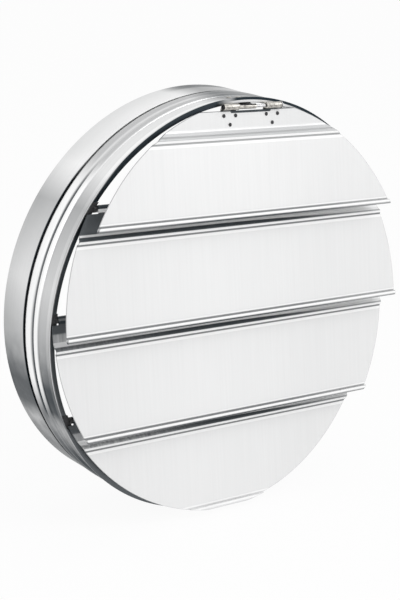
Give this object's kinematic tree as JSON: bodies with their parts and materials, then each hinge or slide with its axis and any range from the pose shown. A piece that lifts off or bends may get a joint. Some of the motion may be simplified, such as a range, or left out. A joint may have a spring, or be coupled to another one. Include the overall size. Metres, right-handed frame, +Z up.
{
  "type": "round gravity louvre damper",
  "caption": "Round sheet-metal duct casing with hinged horizontal blades on its front that air pushes open and gravity closes.",
  "frame": {"origin": "centre of the rear rim's plane, on the casing's axis", "axes": "+Y along the casing's axis, out of the rear rim towards the duct; the blades face -Y; +Z up; X along the blades' axes"},
  "size_m": [0.4046, 0.1074, 0.4046],
  "materials": {
    "galvanised_sheet": "satin galvanised sheet",
    "blade_sheet": "pale satin sheet, faintly brushed",
    "zinc_plated_steel": "bright zinc",
    "dark_steel": "blackened",
    "bright_steel": "drawn bright steel",
    "black_plastic": "matt black"
  },
  "bodies": {
    "casing": {"rear_collar": "galvanised_sheet", "front_body": "galvanised_sheet", "front_ring": "galvanised_sheet", "bush_2_left": "black_plastic", "bush_2_right": "black_plastic", "bush_3_left": "black_plastic", "bush_3_right": "black_plastic", "bush_4_left": "black_plastic", "bush_4_right": "black_plastic", "hinge_bracket": "zinc_plated_steel", "bracket_rivet_left": "zinc_plated_steel", "bracket_rivet_right": "zinc_plated_steel", "hinge_pin": "bright_steel", "hinge_pin_clip": "bright_steel"},
    "top_blade": {"blade_1": "blade_sheet", "hinge_leaf_left": "zinc_plated_steel", "hinge_leaf_right": "zinc_plated_steel", "leaf_rivet_left_1": "dark_steel", "leaf_rivet_left_2": "dark_steel", "leaf_rivet_left_3": "dark_steel", "leaf_rivet_right_1": "dark_steel", "leaf_rivet_right_2": "dark_steel", "leaf_rivet_right_3": "dark_steel"},
    "second_blade": {"blade_2": "blade_sheet", "rod_2": "bright_steel"},
    "third_blade": {"blade_3": "blade_sheet", "rod_3": "bright_steel"},
    "bottom_blade": {"blade_4": "blade_sheet", "rod_4": "bright_steel"}
  },
  "joints": [
    {"name": "top_blade_hinge", "type": "hinge", "parent": "casing", "child": "top_blade", "pos_m": [0.0042, -0.0846, 0.1945], "axis": [-1, 0, 0], "range_deg": [-11.3, 63.7]},
    {"name": "second_blade_hinge", "type": "hinge", "parent": "casing", "child": "second_blade", "pos_m": [0, -0.0783, 0.1087], "axis": [-1, 0, 0], "range_deg": [-11.3, 63.7]},
    {"name": "third_blade_hinge", "type": "hinge", "parent": "casing", "child": "third_blade", "pos_m": [0, -0.0783, 0.0109], "axis": [-1, 0, 0], "range_deg": [-11.3, 63.7]},
    {"name": "bottom_blade_hinge", "type": "hinge", "parent": "casing", "child": "bottom_blade", "pos_m": [0, -0.0783, -0.0869], "axis": [-1, 0, 0], "range_deg": [-11.3, 63.7]}
  ],
  "couplings": [
    {"joint": "top_blade_hinge", "follows": "second_blade_hinge", "ratio": 1},
    {"joint": "third_blade_hinge", "follows": "second_blade_hinge", "ratio": 1},
    {"joint": "bottom_blade_hinge", "follows": "second_blade_hinge", "ratio": 1}
  ]
}
